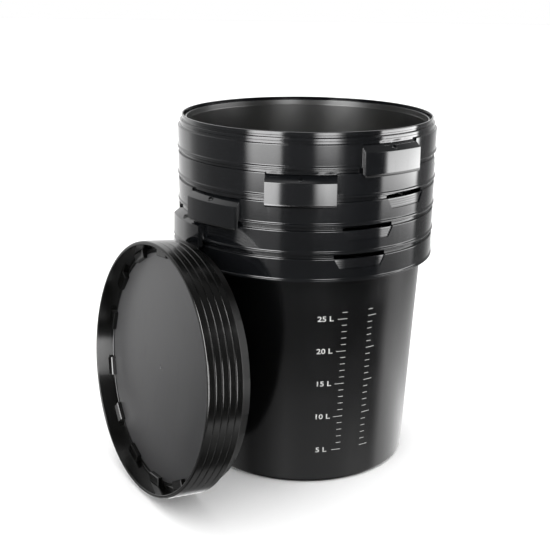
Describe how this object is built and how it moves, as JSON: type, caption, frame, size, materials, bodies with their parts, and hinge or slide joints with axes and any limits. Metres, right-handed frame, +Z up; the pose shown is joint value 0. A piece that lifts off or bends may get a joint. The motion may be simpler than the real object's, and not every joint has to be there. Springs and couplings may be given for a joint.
{
  "type": "nested fermenting buckets with lids",
  "caption": "Nested set of tapered black plastic fermenting buckets with collared rims and box grips, and matching clip-on lids leaning on edge against the stack.",
  "frame": {"origin": "centre of the bottom bucket's base, on the floor", "axes": "+Z up along the axis of the nested buckets, -Y towards the viewer of the printed scale, +X to the right"},
  "size_m": [0.5382, 0.5548, 0.5432],
  "materials": {
    "bucket_plastic": "glossy black moulded plastic",
    "lid_plastic": "satin black moulded plastic",
    "seal_rubber": "dull dark rubber",
    "scale_ink": "white printed ink"
  },
  "bodies": {
    "bucket_1": {"bucket_1": "bucket_plastic"},
    "bucket_2": {"bucket_2": "bucket_plastic"},
    "bucket_3": {"bucket_3": "bucket_plastic"},
    "bucket_4": {"bucket_4": "bucket_plastic"},
    "bucket_5": {"bucket_5": "bucket_plastic"},
    "lid_1": {"lid_1": "lid_plastic", "lid_seal_1": "seal_rubber"},
    "lid_2": {"lid_2": "lid_plastic", "lid_seal_2": "seal_rubber"},
    "lid_3": {"lid_3": "lid_plastic", "lid_seal_3": "seal_rubber"},
    "lid_4": {"lid_4": "lid_plastic", "lid_seal_4": "seal_rubber"},
    "lid_5": {"lid_5": "lid_plastic", "lid_seal_5": "seal_rubber"}
  },
  "joints": [
    {"name": "lift_bucket_2", "type": "slide", "parent": "bucket_1", "child": "bucket_2", "axis": [0, 0, 1], "range_m": [0, 0.36]},
    {"name": "lift_bucket_3", "type": "slide", "parent": "bucket_2", "child": "bucket_3", "axis": [0, 0, 1], "range_m": [0, 0.36]},
    {"name": "lift_bucket_4", "type": "slide", "parent": "bucket_3", "child": "bucket_4", "axis": [0, 0, 1], "range_m": [0, 0.36]},
    {"name": "lift_bucket_5", "type": "slide", "parent": "bucket_4", "child": "bucket_5", "axis": [0, 0, 1], "range_m": [0, 0.36]},
    {"name": "pull_lid_1", "type": "slide", "parent": "bucket_1", "child": "lid_1", "axis": [-0.8245, -0.5561, 0.1045], "range_m": [0, 0.06]},
    {"name": "pull_lid_2", "type": "slide", "parent": "lid_1", "child": "lid_2", "axis": [-0.8245, -0.5561, 0.1045], "range_m": [0, 0.06]},
    {"name": "pull_lid_3", "type": "slide", "parent": "lid_2", "child": "lid_3", "axis": [-0.8245, -0.5561, 0.1045], "range_m": [0, 0.06]},
    {"name": "pull_lid_4", "type": "slide", "parent": "lid_3", "child": "lid_4", "axis": [-0.8245, -0.5561, 0.1045], "range_m": [0, 0.06]},
    {"name": "pull_lid_5", "type": "slide", "parent": "lid_4", "child": "lid_5", "axis": [-0.8245, -0.5561, 0.1045], "range_m": [0, 0.06]}
  ]
}
